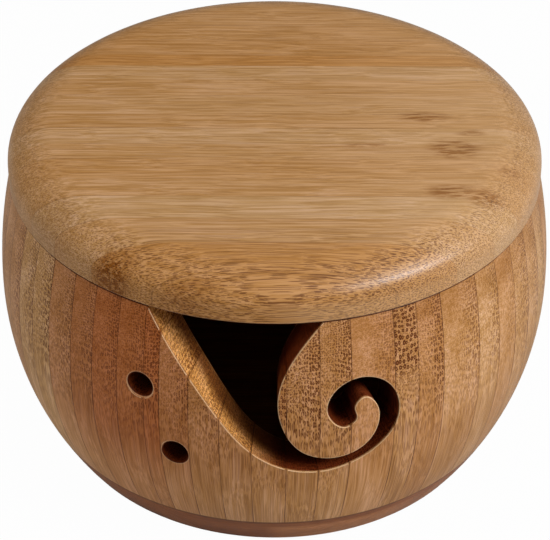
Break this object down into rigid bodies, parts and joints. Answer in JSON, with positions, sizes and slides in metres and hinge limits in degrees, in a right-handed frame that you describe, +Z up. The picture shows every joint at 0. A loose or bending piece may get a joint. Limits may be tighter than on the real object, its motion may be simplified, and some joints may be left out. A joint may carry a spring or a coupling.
{
  "type": "lidded yarn bowl",
  "caption": "Round barrel-sided bamboo yarn bowl of upright staves, with a curled yarn slot and needle holes in its wall, and a loose board lid that lifts off.",
  "frame": {"origin": "middle of the underside, on the surface the bowl stands on", "axes": "+Z up, along the axis of the bowl; -Y is the side with the yarn slot; +X is to the right of someone who looks at the slot"},
  "size_m": [0.15, 0.1499, 0.095],
  "materials": {
    "stave_bamboo": "caramelised bamboo, semi-gloss lacquer",
    "base_bamboo": "darker caramelised bamboo, semi-gloss lacquer",
    "lid_bamboo": "caramelised bamboo, semi-gloss lacquer"
  },
  "bodies": {
    "bowl": {"base_board": "base_bamboo", "wall_stave_01": "stave_bamboo", "wall_stave_02": "stave_bamboo", "wall_stave_03": "stave_bamboo", "wall_stave_04": "stave_bamboo", "wall_stave_05": "stave_bamboo", "wall_stave_06": "stave_bamboo", "wall_stave_07": "stave_bamboo", "wall_stave_08": "stave_bamboo", "wall_stave_09": "stave_bamboo", "wall_stave_10": "stave_bamboo", "wall_stave_11": "stave_bamboo", "wall_stave_12": "stave_bamboo", "wall_stave_13": "stave_bamboo", "wall_stave_14": "stave_bamboo", "wall_stave_15": "stave_bamboo", "wall_stave_16": "stave_bamboo", "wall_stave_17": "stave_bamboo", "wall_stave_18": "stave_bamboo", "wall_stave_19": "stave_bamboo", "wall_stave_20": "stave_bamboo", "wall_stave_21": "stave_bamboo", "wall_stave_22": "stave_bamboo", "wall_stave_23": "stave_bamboo", "wall_stave_24": "stave_bamboo", "wall_stave_25": "stave_bamboo", "wall_stave_26": "stave_bamboo", "wall_stave_27": "stave_bamboo", "wall_stave_28": "stave_bamboo", "wall_stave_29": "stave_bamboo", "wall_stave_30": "stave_bamboo", "wall_stave_31": "stave_bamboo", "wall_stave_32": "stave_bamboo", "wall_stave_33": "stave_bamboo", "wall_stave_34": "stave_bamboo", "wall_stave_35": "stave_bamboo", "wall_stave_36": "stave_bamboo", "wall_stave_37": "stave_bamboo", "wall_stave_38": "stave_bamboo", "wall_stave_39": "stave_bamboo", "wall_stave_40": "stave_bamboo", "wall_stave_41": "stave_bamboo", "wall_stave_42": "stave_bamboo", "wall_stave_43": "stave_bamboo", "wall_stave_44": "stave_bamboo", "wall_stave_45": "stave_bamboo", "wall_stave_46": "stave_bamboo", "wall_stave_47": "stave_bamboo", "wall_stave_48": "stave_bamboo", "wall_stave_49": "stave_bamboo", "wall_stave_50": "stave_bamboo", "wall_stave_51": "stave_bamboo", "wall_stave_52": "stave_bamboo", "wall_stave_53": "stave_bamboo", "wall_stave_54": "stave_bamboo", "wall_stave_55": "stave_bamboo", "wall_stave_56": "stave_bamboo"},
    "lid": {"lid_board": "lid_bamboo"}
  },
  "joints": [
    {"name": "lid_lift", "type": "slide", "parent": "bowl", "child": "lid", "axis": [0, 0, 1], "range_m": [0, 0.1]}
  ]
}
